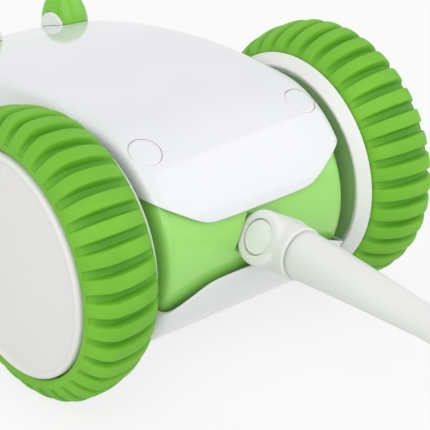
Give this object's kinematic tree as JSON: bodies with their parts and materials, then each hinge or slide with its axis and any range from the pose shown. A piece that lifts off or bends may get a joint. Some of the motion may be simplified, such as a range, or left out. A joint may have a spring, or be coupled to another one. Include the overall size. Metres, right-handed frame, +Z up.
{
  "type": "automatic feather cat toy",
  "caption": "Self-driving cat toy: a rounded body between ribbed wheels, with ear bumps, a chin roller and a hinged tail rod that ends in feathers",
  "frame": {"origin": "on the floor, under the middle of the toy's length and width", "axes": "+X to the toy's right, +Y towards its nose, +Z up; the wheels turn about X"},
  "size_m": [0.1016, 0.2816, 0.0675],
  "materials": {
    "shell_white": "glossy moulded white",
    "satin_white": "satin moulded white",
    "warm_grey": "satin warm light grey",
    "body_green": "glossy light green",
    "tyre_green": "soft green rubber",
    "ear_green": "glossy bright green",
    "window_black": "dark sensor window",
    "steel": "bright steel",
    "brass": "turned brass",
    "nylon": "natural nylon",
    "dark_rubber": "black rubber",
    "board_green": "green circuit board",
    "cell_blue": "blue shrink film",
    "feather_white": "soft white feather",
    "feather_green": "soft green feather"
  },
  "bodies": {
    "chassis": {"mid_body": "body_green", "upper_shell": "shell_white", "belly_shell": "shell_white", "sensor_window": "window_black", "screw_plug_left": "shell_white", "screw_plug_right": "shell_white", "shell_screw_left": "steel", "shell_screw_right": "steel", "belly_screw_rear_left": "steel", "belly_screw_rear_right": "steel", "belly_screw_nose_left": "steel", "belly_screw_nose_right": "steel", "axle_bush_left": "brass", "axle_bush_right": "brass", "gear_plate_left": "satin_white", "gear_plate_right": "satin_white", "motor_left": "steel", "motor_right": "steel", "base_tray": "satin_white", "battery": "cell_blue", "circuit_board": "board_green", "power_switch": "dark_rubber", "charging_port": "steel", "roller_pin": "steel", "roller_fork": "satin_white", "ear_left": "ear_green", "ear_right": "ear_green", "ear_disc_left": "satin_white", "ear_disc_right": "satin_white", "tail_bracket": "steel"},
    "tail": {"tail_knuckle": "satin_white", "tail_pin": "satin_white", "tail_rod": "satin_white", "feather_socket": "tyre_green", "feather_1": "feather_white", "feather_2": "feather_green", "feather_3": "feather_white", "feather_4": "feather_green", "feather_5": "feather_white"},
    "button": {"power_button": "body_green"},
    "cover": {"port_cover": "dark_rubber"},
    "roller": {"chin_roller": "dark_rubber"},
    "wheel_left": {"tyre_left": "tyre_green", "hub_left": "satin_white", "hub_cap_left": "warm_grey", "axle_shaft_left": "steel", "output_gear_left": "nylon"},
    "reduction_left": {"reduction_gear_left": "nylon"},
    "pinion_left": {"motor_pinion_left": "brass"},
    "wheel_right": {"tyre_right": "tyre_green", "hub_right": "satin_white", "hub_cap_right": "warm_grey", "axle_shaft_right": "steel", "output_gear_right": "nylon"},
    "reduction_right": {"reduction_gear_right": "nylon"},
    "pinion_right": {"motor_pinion_right": "brass"}
  },
  "joints": [
    {"name": "tail_hinge", "type": "hinge", "parent": "chassis", "child": "tail", "pos_m": [0, 0.02071, 0.0321], "axis": [0.866, 0, -0.5], "range_deg": [-30, 1]},
    {"name": "button_press", "type": "slide", "parent": "chassis", "child": "button", "axis": [0, 0, 1], "range_m": [0, 0.001], "stiffness_N_per_m": 600, "springref_m": -0.0005},
    {"name": "cover_hinge", "type": "hinge", "parent": "chassis", "child": "cover", "pos_m": [0, 0.06371, 0.0066], "axis": [-1, 0, 0], "range_deg": [0, 85]},
    {"name": "roller_spin", "type": "hinge", "parent": "chassis", "child": "roller", "pos_m": [0, 0.11592, 0.0045], "axis": [1, 0, 0], "continuous": true},
    {"name": "wheel_left_spin", "type": "hinge", "parent": "chassis", "child": "wheel_left", "pos_m": [0, 0.04991, 0.033], "axis": [1, 0, 0], "continuous": true},
    {"name": "reduction_left_spin", "type": "hinge", "parent": "chassis", "child": "reduction_left", "pos_m": [0, 0.06191, 0.033], "axis": [1, 0, 0], "continuous": true},
    {"name": "pinion_left_spin", "type": "hinge", "parent": "chassis", "child": "pinion_left", "pos_m": [0, 0.07391, 0.033], "axis": [1, 0, 0], "continuous": true},
    {"name": "wheel_right_spin", "type": "hinge", "parent": "chassis", "child": "wheel_right", "pos_m": [0, 0.04991, 0.033], "axis": [1, 0, 0], "continuous": true},
    {"name": "reduction_right_spin", "type": "hinge", "parent": "chassis", "child": "reduction_right", "pos_m": [0, 0.06191, 0.033], "axis": [1, 0, 0], "continuous": true},
    {"name": "pinion_right_spin", "type": "hinge", "parent": "chassis", "child": "pinion_right", "pos_m": [0, 0.07391, 0.033], "axis": [1, 0, 0], "continuous": true}
  ],
  "couplings": [
    {"joint": "reduction_left_spin", "follows": "wheel_left_spin", "ratio": -3},
    {"joint": "pinion_left_spin", "follows": "wheel_left_spin", "ratio": 9},
    {"joint": "reduction_right_spin", "follows": "wheel_right_spin", "ratio": -3},
    {"joint": "pinion_right_spin", "follows": "wheel_right_spin", "ratio": 9}
  ]
}
